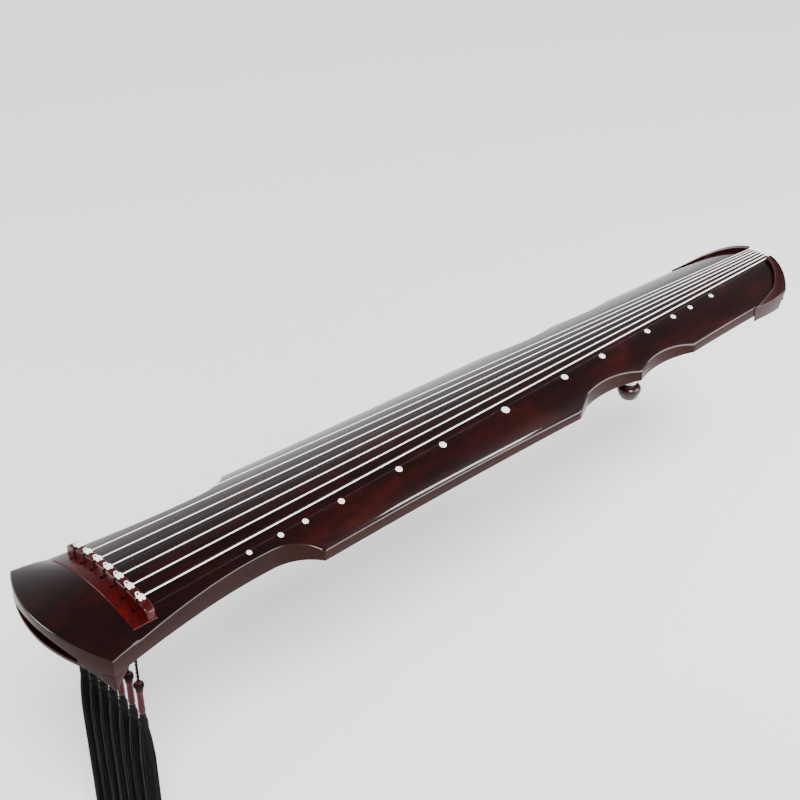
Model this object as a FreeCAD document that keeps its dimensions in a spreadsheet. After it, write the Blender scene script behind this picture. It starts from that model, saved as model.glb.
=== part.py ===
"""Seven-string guqin in the Fuxi shape, modelled as an assembly of separate pieces.

+X runs from the head to the tail, +Z is up, and string 1 with the pearl studs is on the -Y side.
Each piece is drawn with x = 0 at the bridge's inner edge, y = 0 on the centre line and z = 0 at
the underside of the bottom board. One common Placement then sets the origin at mid-length, on
the plane that the two goose feet stand on.
"""
import FreeCAD, Part
import math
import os
import Sketcher
from FreeCAD import Placement, Rotation, Vector

os.makedirs("parts", exist_ok=True)
doc = FreeCAD.newDocument("guqin")

# ---------------------------------------------------------------- driving dimensions, mm
DIMENSIONS = {
    "string_length": 1130,      # from the bridge's inner edge to the tail nut
    "mid_x": 523,               # middle of the body, where the origin is
    "foot_height": 36,
    "board_thickness": 9,       # bottom board
    "crown_height": 41,         # top of the arch above the underside, at the bridge
    "tail_height": 35.5,        # the same at the tail nut
    "crown_radius": 232,        # arch across the body, at the bridge
    "tail_radius": 134,         # the same at the tail nut
    "wall_thickness": 11,       # soundboard over the hollow
    "head_half": 106.5,
    "head_corner_x": 73.5,      # head corners, ahead of the bridge
    "head_front_x": 103,        # middle of the head's front edge
    "mouth_half": 64,           # slot in the head's front edge
    "mouth_floor": 4.5,
    "mouth_side": 8.8,
    "mouth_top": 18.6,
    "mouth_back_x": 84,
    "shoulder_x": 220,
    "shoulder_half": 102.5,
    "tail_corner_x": 1103,
    "tail_half": 75.5,
    "body_end_x": 1139,
    "bridge_thick": 12,
    "bridge_half": 82.5,
    "bridge_top": 51.3,
    "bridge_drop": 7.26,        # fall of the bridge's top from its middle to its clipped ends
    "plate_depth": 31,          # inlay plate, ahead of the bridge's inner edge
    "plate_half": 83,
    "plate_thick": 3,
    "plate_proud": 1,
    "cord_x": -22,              # line of the pegs and of the cord holes' lower ends
    "cord_top_x": -15.5,        # upper ends of the slanting cord holes
    "cord_hole": 5,
    "cord_diameter": 4,         # hanging cord, two strands side by side
    "loop_diameter": 2.8,       # silk loop over the bridge
    "knot_radius": 2.8,
    "knot_length": 12,
    "knot_x": -6.4,
    "string_pitch": 20.9,       # at the bridge
    "tail_pitch": 6.06,         # at the tail nut
    "peg_plate_length": 46,
    "peg_plate_half": 74,
    "peg_plate_thick": 5,
    "peg_plate_proud": 1,
    "peg_top": -66,             # top of a peg, which hangs on its cord
    "peg_length": 47,
    "peg_radius": 4.2,
    "tassel_length": 285,
    "tassel_radius": 9.4,
    "foot_x": 787,
    "foot_y": 63,
    "foot_neck": 8.5,           # radius where the strings are wound
    "tenon_side": 14,
    "nut_length": 10,
    "nut_half": 19.6,
    "nut_top": 37.2,
    "nut_radius": 98,           # arch of the nut's top
    "nut_round": 4,             # its rounded rear edge
    "trim_drop": 8,             # tail trims below the bottom board
    "guard_start": 74,          # where the peg guards leave the underside, from the centre
    "guard_tip": -19.5,         # points of the peg guards
    "stud_depth": 1.2,
    "long_pool": 205,           # sound holes in the bottom board
    "long_pool_x": 415,
    "short_pool": 105,
    "short_pool_x": 945,
    "pool_width": 25,
}

sheet = doc.addObject("Spreadsheet::Sheet", "Dims")
for row, (alias, value) in enumerate(DIMENSIONS.items(), 1):
    sheet.set(f"A{row}", alias)
    sheet.set(f"B{row}", str(value))
    sheet.setAlias(f"B{row}", alias)
doc.recompute()


class Size:
    """Read access to the driving dimensions by name."""

    def __getattr__(self, name):
        return float(DIMENSIONS[name])


S = Size()
STRINGS = range(1, 8)
STRING_DIAMETER = {1: 1.7, 2: 1.55, 3: 1.4, 4: 1.3, 5: 1.2, 6: 1.05, 7: 0.95}
CROWN_SLOPE = (S.tail_height - S.crown_height) / S.string_length
RADIUS_SLOPE = (S.tail_radius - S.crown_radius) / S.string_length
HEAD_SLOPE = 0.165              # fall of the arch ahead of the inlay plate
HEAD_FLATTEN = 4.9              # growth of its radius there, for each mm
NEAR, FAR = -1, 1
nodes = []


# ---------------------------------------------------------------- helpers
def string_y(number):
    """Across-the-body position of a string at the bridge."""
    return (number - 4) * S.string_pitch


def tail_y(number):
    """Across-the-body position of a string at the tail nut."""
    return (number - 4) * S.tail_pitch


def crown_arc(x):
    """Height of the soundboard's arch on the centre line, and its radius, at one station."""
    along = max(x, -S.plate_depth)
    ahead = max(-S.plate_depth - x, 0)
    height = S.crown_height + CROWN_SLOPE * along - HEAD_SLOPE * ahead
    return height, S.crown_radius + RADIUS_SLOPE * along + HEAD_FLATTEN * ahead


def arch_z(height, radius, y):
    """Height, that far from the centre line, of an arch of known top and radius."""
    return height - radius + math.sqrt(radius ** 2 - y * y)


def crown_z(x, y=0.0):
    """Height of the soundboard's arched face."""
    return arch_z(*crown_arc(x), y)


def settle(obj, label):
    """Gives a finished piece its label and the common placement, bound to the sheet."""
    obj.Label = label
    obj.setExpression("Placement.Base.x", "-Dims.mid_x")
    obj.setExpression("Placement.Base.z", "Dims.foot_height")
    nodes.append(obj)
    return obj


def own_shape(shape, label):
    """A piece that PartDesign and the Part primitives can't make."""
    obj = doc.addObject("Part::Feature", label)
    obj.Shape = shape
    return settle(obj, label)


def box(name, corner, size):
    obj = doc.addObject("Part::Box", name)
    obj.Length, obj.Width, obj.Height = size
    obj.Placement.Base = Vector(*corner)
    return obj


def cylinder(name, radius, height, base, direction=Vector(0, 0, 1)):
    """radius may be a number or an expression on the sheet."""
    obj = doc.addObject("Part::Cylinder", name)
    if isinstance(radius, str):
        obj.setExpression("Radius", radius)
    else:
        obj.Radius = radius
    obj.Height = height
    obj.Placement = Placement(Vector(*base), Rotation(Vector(0, 0, 1), direction))
    return obj


def sketch(name, edges, plane="XY", offset=0.0):
    """A free sketch of lines and arcs, that far along the axis its plane is square to."""
    turn = {"XY": Rotation(), "XZ": Rotation(Vector(1, 0, 0), 90),
            "YZ": Rotation(Vector(1, 1, 1), 120)}[plane]
    away = {"XY": Vector(0, 0, 1), "XZ": Vector(0, 1, 0), "YZ": Vector(1, 0, 0)}[plane]
    obj = doc.addObject("Sketcher::SketchObject", name)
    obj.Placement = Placement(away * offset, turn)
    obj.addGeometry(edges, False)
    return obj


def extrude(name, base, length, direction=Vector(0, 0, 1)):
    obj = doc.addObject("Part::Extrusion", name)
    obj.Base = base
    obj.DirMode = "Custom"
    obj.Dir = direction
    obj.LengthFwd = length
    obj.Solid = True
    return obj


def cut(name, base, *tools):
    for index, tool in enumerate(tools):
        obj = doc.addObject("Part::Cut", f"{name}_{index}")
        obj.Base, obj.Tool = base, tool
        base = obj
    return base


def common(name, *shapes):
    obj = doc.addObject("Part::MultiCommon", name)
    obj.Shapes = list(shapes)
    return obj


def fuse(name, *shapes):
    obj = doc.addObject("Part::MultiFuse", name)
    obj.Shapes = list(shapes)
    return obj


def line(a, b):
    return Part.LineSegment(Vector(a[0], a[1], 0), Vector(b[0], b[1], 0))


def arc(a, middle, b):
    return Part.Arc(*(Vector(p[0], p[1], 0) for p in (a, middle, b)))


def edge(*points):
    """A line through two points or an arc through three."""
    return line(*points) if len(points) == 2 else arc(*points)


def loop(points):
    """Closed run of straight edges."""
    return [line(a, b) for a, b in zip(points, points[1:] + points[:1])]


def mirrored(points):
    """Points on the -Y side, then the same on the +Y side in reverse."""
    return [(x, -y) for x, y in points] + [(x, y) for x, y in reversed(points)]


def body_with_plane(name, role):
    """An empty PartDesign body and one of its origin planes."""
    body = doc.addObject("PartDesign::Body", name)
    plane = next(f for f in body.Origin.OriginFeatures if f.Role == role)
    return body, plane


def turned(name, profile):
    """PartDesign body revolved about its Z axis; profile holds (radius, height) corners."""
    body, plane = body_with_plane(name, "XZ_Plane")
    half = body.newObject("Sketcher::SketchObject", f"{name}_profile")
    half.AttachmentSupport = [(plane, "")]
    half.MapMode = "FlatFace"
    half.addGeometry(loop(profile), False)
    turn = body.newObject("PartDesign::Revolution", f"{name}_turn")
    turn.Profile = half
    turn.ReferenceAxis = (half, ["V_Axis"])
    turn.Angle = 360
    return body


def rounded_route(points, radius):
    """Straight runs through the points, joined by tangent arcs of the given radius."""
    edges = []
    start = points[0]
    for before, corner, after in zip(points, points[1:], points[2:]):
        inward = (before - corner).normalize()
        onward = (after - corner).normalize()
        half_turn = (math.pi - inward.getAngle(onward)) / 2
        if half_turn < 1e-4:
            continue
        reach = radius * math.tan(half_turn)
        shortest = min((before - corner).Length, (after - corner).Length)
        reach = min(reach, 0.45 * shortest)
        bend = reach / math.tan(half_turn)
        enter = corner + inward * reach
        leave = corner + onward * reach
        bisector = (inward + onward).normalize()
        middle = corner + bisector * (bend / math.cos(half_turn) - bend)
        edges.append(Part.LineSegment(start, enter).toShape())
        edges.append(Part.Arc(enter, middle, leave).toShape())
        start = leave
    edges.append(Part.LineSegment(start, points[-1]).toShape())
    return edges


def tube(edges, diameter):
    """Round tube along joined edges, checked against its section times its length."""
    wire = Part.Wire(edges)
    tangent = edges[0].tangentAt(edges[0].FirstParameter)
    ring = Part.Wire([Part.makeCircle(diameter / 2, edges[0].Vertexes[0].Point, tangent)])
    solid = wire.makePipeShell([ring], True, False)
    expected = math.pi * diameter ** 2 / 4 * wire.Length
    if abs(solid.Volume / expected - 1) > 0.01:
        raise RuntimeError(f"tube volume {solid.Volume:.1f}, expected {expected:.1f}")
    return solid


# ---------------------------------------------------------------- outline of the body
def body_outline():
    """Closed plan outline: bowed front, waisted neck, two linked crescents, clipped tail."""
    head = (-S.head_corner_x, S.head_half)
    neck_start = (60, 80.6)
    neck = (168, 73.3)
    shoulder = (S.shoulder_x, S.shoulder_half)
    waist = (657, 95)
    hook = (684, 80.5)
    cusp = (786, 85)
    rump = (894, 84.5)
    tail = (S.tail_corner_x, S.tail_half)
    end = (S.body_end_x, S.nut_half)
    half = [
        (head, (-6, 91.6), neck_start),
        (neck_start, (112, 75), neck),
        (neck, (196, 80.5), shoulder),
        (shoulder, (420, 96.6), waist),
        (waist, hook),
        (hook, (732, 74), cusp),
        (cusp, (838, 74), rump),
        (rump, (1000, 79), tail),
        (tail, (1127, 50), end),
    ]
    edges = [edge(*points) for points in half]
    edges += [edge(*((x, -y) for x, y in points)) for points in half]
    edges.append(arc((head[0], -head[1]), (-S.head_front_x, 0), head))
    edges.append(line((end[0], -end[1]), end))
    return edges


def outline_prism(name, bottom, top):
    base = sketch(f"{name}_outline", body_outline(), offset=bottom)
    return extrude(f"{name}_prism", base, top - bottom)


def arch_loft(name, stations, less=0.0):
    """Solid through upright circles whose tops follow an arch, each that much smaller."""
    rings = []
    for x, (height, radius) in stations:
        ring = Part.Circle(Vector(0, height - radius, 0), Vector(0, 0, 1), radius - less)
        rings.append(sketch(f"{name}_ring_{len(rings)}", [ring], plane="YZ", offset=x))
    loft = doc.addObject("Part::Loft", name)
    loft.Sections = rings
    loft.Solid = True
    loft.Ruled = True
    return loft


def crown_loft(name, less=0.0):
    """Everything under the soundboard's arch, or under a face that far inside it."""
    return arch_loft(name, [(x, crown_arc(x)) for x in (-150, -S.plate_depth, 1250)], less)


def cord_bores(name):
    """The seven holes that the silk cords run down, slanting a little towards the head."""
    slant = Vector(S.cord_top_x - S.cord_x, 0, S.crown_height)
    start = -10
    left = S.cord_x + slant.x / slant.z * start
    bores = [cylinder(f"{name}_{n}", "Dims.cord_hole / 2", 80, (left, string_y(n), start), slant)
             for n in STRINGS]
    return fuse(name, *bores)


def trim_region(side):
    """Plan outline of a tail corner trim, a little outside the body's side."""
    proud = 1.2
    tip = (1033, side * 78.2)
    start = (1039, side * (78 + proud))
    outer = (S.tail_corner_x + proud, side * (S.tail_half + proud))
    crest = (S.body_end_x, side * S.nut_half)
    inner = (1129, side * S.nut_half)
    bend = (1086, side * 66)
    return [
        line(tip, start),
        line(start, outer),
        arc(outer, (1128.5, side * 50.5), crest),
        line(crest, inner),
        arc(inner, (1110, side * 49.5), bend),
        arc(bend, (1062, side * 72.3), tip),
    ]


def trim_prism(name, side, bottom, top):
    return extrude(name, sketch(f"{name}_plan", trim_region(side), offset=bottom), top - bottom)


# ---------------------------------------------------------------- soundboard
STUD_STATIONS = [1 / 8, 1 / 6, 1 / 5, 1 / 4, 1 / 3, 2 / 5, 1 / 2,
                 3 / 5, 2 / 3, 3 / 4, 4 / 5, 5 / 6, 7 / 8]
STUD_DIAMETER = [7.0, 7.4, 7.8, 8.4, 9.0, 9.6, 11.0, 9.6, 9.0, 8.4, 7.8, 7.4, 7.0]
STUD_LINE = (68.0, 27.0)        # distance from the centre line at the bridge and at the nut


def stud_solids(depth, rise):
    """Round plugs, square to the arch, at the harmonic points of the string."""
    solids = []
    for station, diameter in zip(STUD_STATIONS, STUD_DIAMETER):
        x = station * S.string_length
        y = -(STUD_LINE[0] + (STUD_LINE[1] - STUD_LINE[0]) * station)
        lean = math.asin(y / crown_arc(x)[1])
        square = Vector(0, math.sin(lean), math.cos(lean))
        foot = Vector(x, y, crown_z(x, y)) - square * depth
        solids.append(Part.makeCylinder(diameter / 2, depth + rise, foot, square))
    return Part.makeCompound(solids)


def mouth(name):
    """Arched slot in the head's front edge, half in the soundboard and half in the bottom."""
    half = S.mouth_half
    left = -120
    face = sketch(f"{name}_mouth_face", [
        arc((-half, S.mouth_side), (0, S.mouth_top), (half, S.mouth_side)),
        line((half, S.mouth_side), (half, S.mouth_floor)),
        line((half, S.mouth_floor), (-half, S.mouth_floor)),
        line((-half, S.mouth_floor), (-half, S.mouth_side)),
    ], plane="YZ", offset=left)
    return extrude(f"{name}_mouth", face, -S.mouth_back_x - left, Vector(1, 0, 0))


def plate_block(name):
    """Upright block over the inlay plate's plan, which also cuts its seat."""
    return box(name, (-S.plate_depth, -S.plate_half, 0), (S.plate_depth + 1, 2 * S.plate_half, 60))


def make_soundboard():
    joint = S.board_thickness
    blank = common("soundboard_blank", outline_prism("soundboard", joint, 60),
                   crown_loft("crown"))
    hollow_plan = mirrored([(68, 67), (160, 60), (236, 84), (636, 80), (702, 63),
                            (850, 63), (906, 72), (1010, 64)])
    hollow = common("hollow",
                    extrude("hollow_prism", sketch("hollow_plan", loop(hollow_plan),
                                                   offset=joint - 1), 60),
                    crown_loft("ceiling", less=S.wall_thickness))
    plate_seat = cut("plate_seat", plate_block("plate_seat_box"),
                     crown_loft("plate_floor", less=S.plate_thick - S.plate_proud))
    nut_seat = box("nut_seat", (S.string_length, -S.nut_half, 20), (40, 2 * S.nut_half, 40))
    studs = doc.addObject("Part::Feature", "stud_seats")
    studs.Shape = stud_solids(S.stud_depth, 4)
    board = cut("soundboard", blank, hollow, plate_seat, nut_seat, studs, mouth("soundboard"),
                cord_bores("soundboard_bores"),
                trim_prism("trim_seat_near", NEAR, 0, 60), trim_prism("trim_seat_far", FAR, 0, 60))
    return settle(board, "soundboard")


def make_studs():
    return own_shape(stud_solids(S.stud_depth, 0.3), "pearl_studs")


# ---------------------------------------------------------------- bottom board and its inside
def pool(name, centre_x, length):
    """Round-ended slot right through the bottom board."""
    half = (length - S.pool_width) / 2
    radius = S.pool_width / 2
    left, right = centre_x - half, centre_x + half
    plan = sketch(f"{name}_plan", [
        line((left, -radius), (right, -radius)),
        arc((right, -radius), (right + radius, 0), (right, radius)),
        line((right, radius), (left, radius)),
        arc((left, radius), (left - radius, 0), (left, -radius)),
    ], offset=-5)
    return extrude(name, plan, 30)


def foot_mortise(side):
    """Square hole that a goose foot's tenon stands in."""
    width = S.tenon_side
    return box(f"mortise_{side}", (S.foot_x - width / 2, side * S.foot_y - width / 2, -1),
               (width, width, 12))


def peg_plate_slab(name):
    """Plain slab of the peg plate, which also cuts its pocket."""
    left = S.cord_x - S.peg_plate_length / 2
    return box(name, (left, -S.peg_plate_half, -S.peg_plate_proud),
               (S.peg_plate_length, 2 * S.peg_plate_half, S.peg_plate_thick))


def make_bottom_board():
    blank = outline_prism("bottom", 0, S.board_thickness)
    board = cut("bottom_board", blank, peg_plate_slab("peg_plate_pocket"), mouth("bottom"),
                pool("long_pool", S.long_pool_x, S.long_pool),
                pool("short_pool", S.short_pool_x, S.short_pool),
                foot_mortise(NEAR), foot_mortise(FAR), cord_bores("bottom_bores"),
                trim_prism("under_seat_near", NEAR, -10, 12),
                trim_prism("under_seat_far", FAR, -10, 12))
    return settle(board, "bottom_board")


def make_foot_blocks():
    """Glued blocks inside the hollow that back the mortises of the goose feet."""
    for side, label in ((NEAR, "foot_block_near"), (FAR, "foot_block_far")):
        centre = side * 48
        block = box(f"{label}_box", (S.foot_x - 20, centre - 14.5, S.board_thickness), (40, 29, 8))
        under = crown_loft(f"{label}_ceiling", less=S.wall_thickness + 0.2)
        settle(common(label, block, under), label)


def make_sound_posts():
    """Round post under the shoulder and square post by the goose feet, inside the hollow."""
    for label, x in (("heaven_post", 262), ("earth_post", 700)):
        height = crown_z(x, 8) - S.wall_thickness - S.board_thickness - 0.1
        body, plane = body_with_plane(label, "XY_Plane")
        section = body.newObject("Sketcher::SketchObject", f"{label}_section")
        section.AttachmentSupport = [(plane, "")]
        section.MapMode = "FlatFace"
        section.AttachmentOffset = Placement(Vector(x, 0, S.board_thickness), Rotation())
        if label == "heaven_post":
            section.addGeometry(Part.Circle(Vector(0, 0, 0), Vector(0, 0, 1), 8), False)
            section.addConstraint(Sketcher.Constraint("Diameter", 0, 16))
        else:
            section.addGeometry(loop([(-7, -7), (7, -7), (7, 7), (-7, 7)]), False)
        pad = body.newObject("PartDesign::Pad", f"{label}_pad")
        pad.Profile = section
        pad.Length = height
        settle(body, label)


# ---------------------------------------------------------------- head fittings
def make_inlay_plate():
    """Hardwood plate let into the head's top, under the bridge, with the cord holes."""
    blank = common("inlay_blank", plate_block("inlay_box"),
                   crown_loft("inlay_top", less=-S.plate_proud))
    under = crown_loft("inlay_floor", less=S.plate_thick - S.plate_proud)
    holes = cord_bores("inlay_bores")
    return settle(cut("inlay_plate", blank, under, holes), "inlay_plate")


BRIDGE_CLIP = 12                # length of each clipped end of the bridge


def make_bridge():
    """Arched bridge with clipped ends and seven cord grooves on its head side."""
    body, plane = body_with_plane("bridge_body", "YZ_Plane")
    half = S.bridge_half
    clip = half - BRIDGE_CLIP
    top = S.bridge_top
    low = top - S.bridge_drop
    face = body.newObject("Sketcher::SketchObject", "bridge_face")
    face.AttachmentSupport = [(plane, "")]
    face.MapMode = "FlatFace"
    face.AttachmentOffset = Placement(Vector(0, 0, -S.bridge_thick), Rotation())
    face.addGeometry([
        line((-half, 15), (half, 15)),
        line((half, 15), (half, 37)),
        arc((half, 37), (half - 4.5, 41.2), (clip, low)),
        arc((clip, low), (0, top), (-clip, low)),
        arc((-clip, low), (4.5 - half, 41.2), (-half, 37)),
        line((-half, 37), (-half, 15)),
    ], False)
    pad = body.newObject("PartDesign::Pad", "bridge_pad")
    pad.Profile = face
    pad.setExpression("Length", "Dims.bridge_thick")
    doc.recompute()
    grooves = fuse("bridge_grooves", *(
        cylinder(f"groove_{n}", 2.3, 60, (-S.bridge_thick, string_y(n), 20)) for n in STRINGS))
    seat = crown_loft("bridge_seat", less=-S.plate_proud)
    blank = cut("bridge_cut", body, seat, grooves)
    return settle(blank, "bridge")


def make_peg_plate():
    """Hardwood plate under the head that the cords come out of."""
    plate = peg_plate_slab("peg_plate_slab")
    return settle(cut("peg_plate", plate, cord_bores("peg_plate_bores")), "peg_plate")


def make_peg_guards():
    """Pointed feet under the head's corners, curved up along the front and the side."""
    tip = S.guard_tip
    start = S.guard_start
    for side, label in ((NEAR, "peg_guard_near"), (FAR, "peg_guard_far")):
        front = sketch(f"{label}_front", [
            line((side * start, 5), (side * 110, 5)),
            line((side * 110, 5), (side * 110, tip)),
            line((side * 110, tip), (side * 104, tip)),
            arc((side * 104, tip), (side * 90, -8), (side * start, -0.4)),
            line((side * start, -0.4), (side * start, 5)),
        ], plane="YZ", offset=-112)
        flank = sketch(f"{label}_flank", [
            line((-112, 5), (-50, 5)),
            line((-50, 5), (-50, -0.4)),
            arc((-50, -0.4), (-60, -8), (-71, tip)),
            line((-71, tip), (-112, tip)),
            line((-112, tip), (-112, 5)),
        ], plane="XZ", offset=-115)
        across = extrude(f"{label}_across", front, 90, Vector(1, 0, 0))
        along = extrude(f"{label}_along", flank, 230, Vector(0, 1, 0))
        guard = common(f"{label}_blank", across, along, outline_prism(label, tip - 5, 0))
        settle(cut(label, guard, peg_plate_slab(f"{label}_clear")), label)


# ---------------------------------------------------------------- tail fittings
def corner_chamfer(side):
    """Block whose face slants in under the tail's outer corner."""
    face = Vector(0.72, side * 0.69, -0.47)
    block = box(f"corner_chamfer_{side}", (0, 0, 0), (120, 120, 60))
    turn = Rotation(Vector(0, 0, 1), face)
    foot = Vector(1107, side * 76.5, 18)
    block.Placement = Placement(foot - turn.multVec(Vector(60, 60, 0)), turn)
    return block


def make_tail_trims():
    """Raised corner trims that clip the tail and wrap its sides."""
    stations = []
    for x in (1000, 1180):
        height, radius = crown_arc(x)
        stations.append((x, (height + 0.045 * (x - 1015), radius)))
    for side, label in ((NEAR, "tail_trim_near"), (FAR, "tail_trim_far")):
        prism = trim_prism(f"{label}_prism", side, -S.trim_drop, 60)
        blank = common(f"{label}_blank", prism, arch_loft(f"{label}_cap", stations))
        settle(cut(label, blank, corner_chamfer(side)), label)


def nut_z(y):
    """Height of the nut's arched top."""
    return arch_z(S.nut_top, S.nut_radius, y)


def make_tail_nut():
    """Nut that the strings bend over at the tail's end."""
    body, plane = body_with_plane("tail_nut_body", "YZ_Plane")
    face = body.newObject("Sketcher::SketchObject", "tail_nut_face")
    face.AttachmentSupport = [(plane, "")]
    face.MapMode = "FlatFace"
    face.AttachmentOffset = Placement(Vector(0, 0, S.string_length), Rotation())
    half = S.nut_half - 0.05
    shoulder = nut_z(half)
    face.addGeometry([
        line((-half, 20), (half, 20)),
        line((half, 20), (half, shoulder)),
        arc((half, shoulder), (0, S.nut_top), (-half, shoulder)),
        line((-half, shoulder), (-half, 20)),
    ], False)
    pad = body.newObject("PartDesign::Pad", "tail_nut_pad")
    pad.Profile = face
    pad.setExpression("Length", "Dims.nut_length")
    doc.recompute()
    rear = S.string_length + S.nut_length
    names = [f"Edge{index}" for index, side in enumerate(pad.Shape.Edges, 1)
             if abs(side.BoundBox.XMin - rear) < 0.01 and side.BoundBox.ZMin > shoulder - 0.01]
    rounding = body.newObject("PartDesign::Fillet", "tail_nut_round")
    rounding.Base = (pad, names)
    rounding.setExpression("Radius", "Dims.nut_round")
    return settle(body, "tail_nut")


def make_under_trim():
    """Block under the tail's end that the strings turn back over."""
    body, plane = body_with_plane("under_trim_body", "XZ_Plane")
    side = body.newObject("Sketcher::SketchObject", "under_trim_side")
    side.AttachmentSupport = [(plane, "")]
    side.MapMode = "FlatFace"
    right = S.string_length + S.nut_length
    low = -S.trim_drop
    side.addGeometry([
        line((1096, 0), (right, 0)),
        line((right, 0), (right, low + 5)),
        arc((right, low + 5), (right - 1.5, low + 1.5), (right - 5, low)),
        line((right - 5, low), (1100, low)),
        line((1100, low), (1096, 0)),
    ], False)
    pad = body.newObject("PartDesign::Pad", "under_trim_pad")
    pad.Profile = side
    pad.setExpression("Length", "2 * Dims.nut_half - 0.1")
    pad.Midplane = True
    doc.recompute()
    return settle(cut("under_trim", body, trim_prism("under_trim_clear_near", NEAR, -12, 4),
                      trim_prism("under_trim_clear_far", FAR, -12, 4)), "under_trim")


# ---------------------------------------------------------------- goose feet
def make_goose_feet():
    """Turned feet with a square tenon; the strings are wound round the necks."""
    neck = S.foot_neck
    height = S.foot_height
    profile = [(0, -0.1), (13, -0.1), (15, -1.5), (15, -3), (neck, -4.5), (neck, -15.5),
               (13, -17), (16, -20), (16.5, -24), (14.5, -30), (12, -height + 1),
               (11, -height), (0, -height)]
    for side, label in ((NEAR, "goose_foot_near"), (FAR, "goose_foot_far")):
        turned_part = turned(f"{label}_turned", profile)
        turned_part.Placement.Base = Vector(S.foot_x, side * S.foot_y, 0)
        tenon_width = S.tenon_side - 0.2
        tenon = box(f"{label}_tenon", (S.foot_x - tenon_width / 2,
                                       side * S.foot_y - tenon_width / 2, -1),
                    (tenon_width, tenon_width, S.board_thickness + 0.9))
        settle(fuse(label, turned_part, tenon), label)


# ---------------------------------------------------------------- strings
TURN_LEVEL = {1: -6.0, 2: -8.2, 3: -10.3, 4: -12.3, 5: -6.4, 6: -8.4, 7: -10.3}


def string_route(number):
    """Over the bridge and the nut, round the tail, and back under it to a goose foot."""
    radius = STRING_DIAMETER[number] / 2
    side = NEAR if number <= 4 else FAR
    start = Vector(S.knot_x, string_y(number), bridge_height(number) + radius + 0.05)
    over_nut_z = nut_z(tail_y(number)) + radius + 0.05
    over_nut = Vector(S.string_length + 1, tail_y(number), over_nut_z)
    end_x = S.string_length + S.nut_length + radius + 0.05
    past_nut = Vector(end_x, tail_y(number), over_nut_z)
    low = -S.trim_drop - radius - 0.05
    under = Vector(end_x, tail_y(number), low)
    centre = Vector(S.foot_x, side * S.foot_y, TURN_LEVEL[number])
    reach = S.foot_neck + radius + 0.05
    leave = Vector(1120, tail_y(number), low)
    flat = Vector(leave.x - centre.x, leave.y - centre.y, 0)
    bearing = math.atan2(flat.y, flat.x) - side * math.acos(reach / flat.Length)
    touch = centre + Vector(math.cos(bearing), math.sin(bearing), 0) * reach
    approach = touch + (Vector(leave.x, leave.y, touch.z) - touch).normalize() * 30
    edges = rounded_route([start, over_nut, past_nut, under, leave, approach, touch],
                          S.nut_round + radius)
    sweep = math.radians(300)
    turns = [centre + Vector(math.cos(bearing - side * part * sweep),
                             math.sin(bearing - side * part * sweep), 0) * reach
             for part in (0.5, 1)]
    edges.append(Part.Arc(touch, turns[0], turns[1]).toShape())
    return edges


def bridge_height(number):
    """Top of the bridge under a string, from the arc that its top follows."""
    return arch_z(S.bridge_top, bridge_radius(), string_y(number))


def bridge_radius():
    """Radius of the bridge's arched top."""
    half = S.bridge_half - BRIDGE_CLIP
    return (half ** 2 + S.bridge_drop ** 2) / (2 * S.bridge_drop)


def make_strings():
    for number in STRINGS:
        own_shape(tube(string_route(number), STRING_DIAMETER[number]), f"string_{number}")


def loop_tube(number):
    """Silk loop, from its knot over the bridge's groove and down through the head."""
    y = string_y(number)
    over_bridge = bridge_height(number) + S.loop_diameter / 2 + 0.05
    plate_top = crown_z(S.cord_top_x, y) + S.plate_proud
    route = [Vector(1 + S.knot_x - S.knot_radius, y, over_bridge),
             Vector(0.4 - S.bridge_thick, y, over_bridge),
             Vector(S.cord_top_x, y, plate_top + 3),
             Vector(S.cord_x, y, -S.peg_plate_proud)]
    return tube(rounded_route(route, 8), S.loop_diameter)


def make_knots():
    """Fly-head knots that tie each string to its silk loop, on top of the bridge."""
    knots = []
    radius = S.knot_radius
    reach = S.knot_length / 2 - radius
    for number in STRINGS:
        y = string_y(number)
        lean = math.asin(y / bridge_radius())
        across = Vector(0, math.cos(lean), -math.sin(lean))
        centre = Vector(S.knot_x, y, bridge_height(number) + radius + 0.2)
        ends = [centre - across * reach, centre + across * reach]
        middle = Part.makeCylinder(radius, 2 * reach, ends[0], across)
        knot = middle.multiFuse([Part.makeSphere(radius, end) for end in ends]).removeSplitter()
        string = tube(string_route(number)[:1], STRING_DIAMETER[number])
        knots.append(knot.cut([string, loop_tube(number)]))
    return own_shape(Part.makeCompound(knots), "fly_head_knots")


# ---------------------------------------------------------------- cords, pegs, tassels
def make_silk_loops():
    """The seven silk loops, each as far as the underside of the peg plate."""
    return own_shape(Part.makeCompound([loop_tube(n) for n in STRINGS]), "silk_loops")


def make_hanging_cords():
    """Free length of each silk cord, pulled straight by the peg and tassel on it."""
    for number in STRINGS:
        cord = cylinder(f"peg_cord_{number}_core", "Dims.cord_diameter / 2", 1,
                        (S.cord_x, string_y(number), S.peg_top + 0.3))
        cord.setExpression("Height", "-Dims.peg_plate_proud - Dims.peg_top - 0.3")
        settle_moved(cord, f"peg_cord_{number}")


def settle_moved(obj, label):
    """Common placement for a piece that is drawn about its own axis."""
    base = obj.Placement.Base
    obj.Label = label
    obj.setExpression("Placement.Base.x", f"{base.x} - Dims.mid_x")
    obj.setExpression("Placement.Base.y", f"{base.y}")
    obj.setExpression("Placement.Base.z", f"{base.z} + Dims.foot_height")
    nodes.append(obj)
    return obj


def make_pegs():
    """Turned pegs: a neck for the cord's turns, a low collar and a slim round grip."""
    grip = S.peg_radius
    length = S.peg_length
    profile = [(0, 0), (2.6, 0), (3.6, -1.5), (3.6, -10), (4.6, -11.5), (4.7, -13.5),
               (grip, -15), (grip - 0.4, -19), (grip - 0.3, -30), (grip, -length + 3),
               (grip - 0.8, -length), (0, -length)]
    for number in STRINGS:
        peg = turned(f"peg_{number}_turned", profile)
        peg.Placement.Base = Vector(S.cord_x, string_y(number), S.peg_top)
        settle_moved(peg, f"peg_{number}")


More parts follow.
